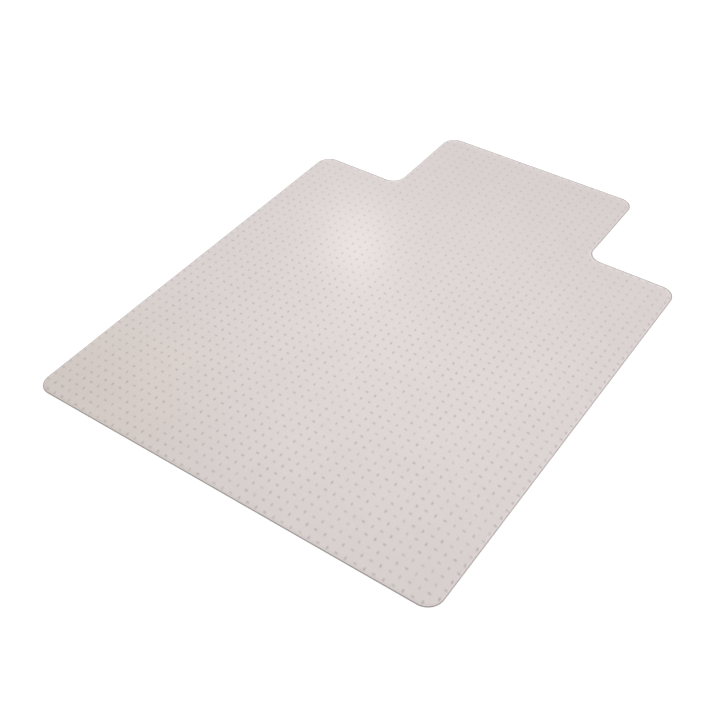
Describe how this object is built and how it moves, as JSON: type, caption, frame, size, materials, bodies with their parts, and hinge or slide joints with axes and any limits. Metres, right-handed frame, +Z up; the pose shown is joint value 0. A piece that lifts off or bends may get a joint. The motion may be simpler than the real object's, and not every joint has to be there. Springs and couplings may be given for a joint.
{
  "type": "chair mat",
  "caption": "Flat frosted vinyl chair mat for carpet, with a lip for the desk's knee space, rounded corners, a sloped edge and small gripping cleats underneath.",
  "frame": {"origin": "middle of the whole outline, lip included, on the plane of the cleat tips, which is the floor", "axes": "+Z up out of the top surface; +Y from the front edge to the end of the lip; +X to the right when looking along +Y"},
  "size_m": [1.1684, 1.524, 0.0076],
  "materials": {
    "sheet_vinyl": "frosted, satin",
    "cleat_vinyl": "frosted, satin"
  },
  "bodies": {
    "root": {"lip_cleat_row1_1": "cleat_vinyl", "lip_cleat_row1_2": "cleat_vinyl", "lip_cleat_row1_3": "cleat_vinyl", "lip_cleat_row1_4": "cleat_vinyl", "lip_cleat_row2_1": "cleat_vinyl", "lip_cleat_row2_2": "cleat_vinyl", "lip_cleat_row2_3": "cleat_vinyl", "lip_cleat_row2_4": "cleat_vinyl", "mat_sheet": "sheet_vinyl", "panel_cleat_row1_1": "cleat_vinyl", "panel_cleat_row1_2": "cleat_vinyl", "panel_cleat_row1_3": "cleat_vinyl", "panel_cleat_row1_4": "cleat_vinyl", "panel_cleat_row1_5": "cleat_vinyl", "panel_cleat_row1_6": "cleat_vinyl", "panel_cleat_row2_1": "cleat_vinyl", "panel_cleat_row2_2": "cleat_vinyl", "panel_cleat_row2_3": "cleat_vinyl", "panel_cleat_row2_4": "cleat_vinyl", "panel_cleat_row2_5": "cleat_vinyl", "panel_cleat_row2_6": "cleat_vinyl", "panel_cleat_row3_1": "cleat_vinyl", "panel_cleat_row3_2": "cleat_vinyl", "panel_cleat_row3_3": "cleat_vinyl", "panel_cleat_row3_4": "cleat_vinyl", "panel_cleat_row3_5": "cleat_vinyl", "panel_cleat_row3_6": "cleat_vinyl", "panel_cleat_row4_1": "cleat_vinyl", "panel_cleat_row4_2": "cleat_vinyl", "panel_cleat_row4_3": "cleat_vinyl", "panel_cleat_row4_4": "cleat_vinyl", "panel_cleat_row4_5": "cleat_vinyl", "panel_cleat_row4_6": "cleat_vinyl", "panel_cleat_row5_1": "cleat_vinyl", "panel_cleat_row5_2": "cleat_vinyl", "panel_cleat_row5_3": "cleat_vinyl", "panel_cleat_row5_4": "cleat_vinyl", "panel_cleat_row5_5": "cleat_vinyl", "panel_cleat_row5_6": "cleat_vinyl", "panel_cleat_row6_1": "cleat_vinyl", "panel_cleat_row6_2": "cleat_vinyl", "panel_cleat_row6_3": "cleat_vinyl", "panel_cleat_row6_4": "cleat_vinyl", "panel_cleat_row6_5": "cleat_vinyl", "panel_cleat_row6_6": "cleat_vinyl"}
  },
  "joints": []
}
